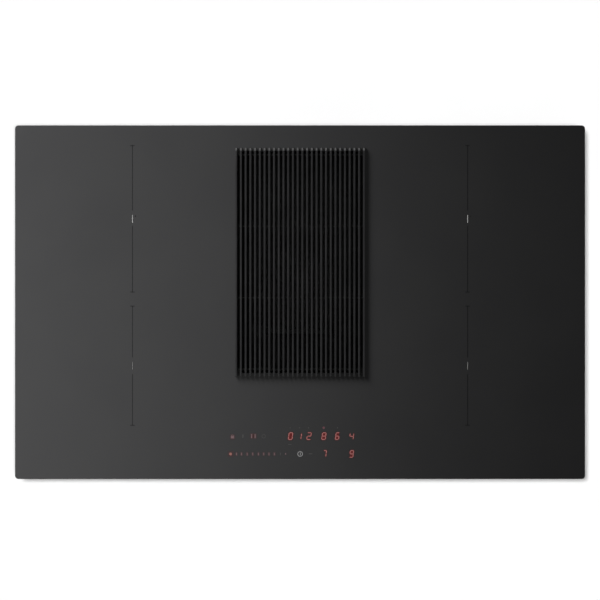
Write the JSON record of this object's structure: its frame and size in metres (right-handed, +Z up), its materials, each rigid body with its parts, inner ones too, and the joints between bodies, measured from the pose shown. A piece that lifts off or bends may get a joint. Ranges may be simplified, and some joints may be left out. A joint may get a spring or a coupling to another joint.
{
  "type": "downdraft induction cooktop",
  "caption": "Built-in black glass induction hob with a slatted extractor inlet in its middle, over a chassis with coils, blower, flat-duct outlet and drip tank.",
  "frame": {"origin": "middle of the glass plate in plan, on the worktop's top face (the underside of the rim's seal)", "axes": "+X to the cook's right, +Y to the back, +Z up out of the worktop"},
  "size_m": [0.83, 0.515, 0.2175],
  "materials": {
    "ceramic_glass": "polished black glass-ceramic",
    "black_rubber": "matt closed-cell foam and rubber",
    "black_plastic": "fine-textured moulding",
    "enamelled_iron": "matt black enamel",
    "filter_aluminium": "satin",
    "zinc_sheet": "galvanised",
    "spring_steel": "bright",
    "aluminium": "mill finish",
    "copper_litz": "varnished stranded copper",
    "mica": "pressed mica paper",
    "circuit_board": "green solder mask",
    "grey_plastic": "fine-textured moulding",
    "white_plastic": "plain moulding",
    "motor_steel": "passivated steel shell",
    "shaft_steel": "ground"
  },
  "bodies": {
    "base": {"glass_plate": "ceramic_glass", "worktop_seal": "black_rubber", "well_seal": "black_rubber", "inlet_well": "black_plastic", "chassis_tray": "zinc_sheet", "control_housing": "black_plastic", "touch_board": "circuit_board", "light_guide": "black_plastic", "plenum_cover": "black_plastic", "fan_deck": "black_plastic", "scroll_casing": "black_plastic", "outlet_spigot": "black_plastic", "blower_motor": "motor_steel", "tank_rail_left": "zinc_sheet", "tank_rail_right": "zinc_sheet", "terminal_box": "white_plastic", "terminal_block": "white_plastic", "cable_gland": "black_plastic", "side_clip_1": "spring_steel", "side_clip_2": "spring_steel", "side_clip_3": "spring_steel", "side_clip_4": "spring_steel", "coil_support_left": "aluminium", "mica_sheet_left": "mica", "board_base_left": "grey_plastic", "power_board_left": "circuit_board", "heat_sink_left": "aluminium", "cooling_fan_frame_left": "black_plastic", "coil_former_rear_left": "black_plastic", "induction_coil_rear_left": "copper_litz", "zone_sensor_rear_left": "white_plastic", "coil_former_front_left": "black_plastic", "induction_coil_front_left": "copper_litz", "zone_sensor_front_left": "white_plastic", "coil_support_right": "aluminium", "mica_sheet_right": "mica", "board_base_right": "grey_plastic", "power_board_right": "circuit_board", "heat_sink_right": "aluminium", "cooling_fan_frame_right": "black_plastic", "coil_former_rear_right": "black_plastic", "induction_coil_rear_right": "copper_litz", "zone_sensor_rear_right": "white_plastic", "coil_former_front_right": "black_plastic", "induction_coil_front_right": "copper_litz", "zone_sensor_front_right": "white_plastic"},
    "grille": {"grille": "enamelled_iron", "grille_foot_1": "black_rubber", "grille_foot_2": "black_rubber", "grille_foot_3": "black_rubber", "grille_foot_4": "black_rubber"},
    "grease_filter": {"filter_frame": "filter_aluminium", "filter_mesh": "filter_aluminium", "filter_handle": "black_plastic"},
    "impeller": {"impeller": "grey_plastic", "motor_shaft": "shaft_steel"},
    "cooling_rotor_left": {"cooling_fan_rotor_left": "grey_plastic"},
    "cooling_rotor_right": {"cooling_fan_rotor_right": "grey_plastic"},
    "drip_tank": {"drip_tank": "grey_plastic"},
    "terminal_cover": {"terminal_cover": "white_plastic"}
  },
  "joints": [
    {"name": "grille_lift", "type": "slide", "parent": "base", "child": "grille", "axis": [0, 0, 1], "range_m": [0, 0.24]},
    {"name": "filter_lift", "type": "slide", "parent": "base", "child": "grease_filter", "axis": [0, 0, 1], "range_m": [0, 0.12]},
    {"name": "impeller_spin", "type": "hinge", "parent": "base", "child": "impeller", "pos_m": [0.20179, 0.02, -0.15], "axis": [0, 0, 1], "continuous": true},
    {"name": "cooling_spin_left", "type": "hinge", "parent": "base", "child": "cooling_rotor_left", "pos_m": [-0.24365, -0.1401, -0.036], "axis": [0, 0, 1], "continuous": true},
    {"name": "cooling_spin_right", "type": "hinge", "parent": "base", "child": "cooling_rotor_right", "pos_m": [0.24365, -0.1401, -0.036], "axis": [0, 0, 1], "continuous": true},
    {"name": "tank_pull", "type": "slide", "parent": "base", "child": "drip_tank", "axis": [0, -1, 0], "range_m": [0, 0.2]},
    {"name": "terminal_cover_hinge", "type": "hinge", "parent": "base", "child": "terminal_cover", "pos_m": [-0.305, 0.1375, -0.0923], "axis": [-1, 0, 0], "range_deg": [0, 92]}
  ],
  "couplings": [
    {"joint": "filter_lift", "follows": "grille_lift", "ratio": 0.5}
  ]
}
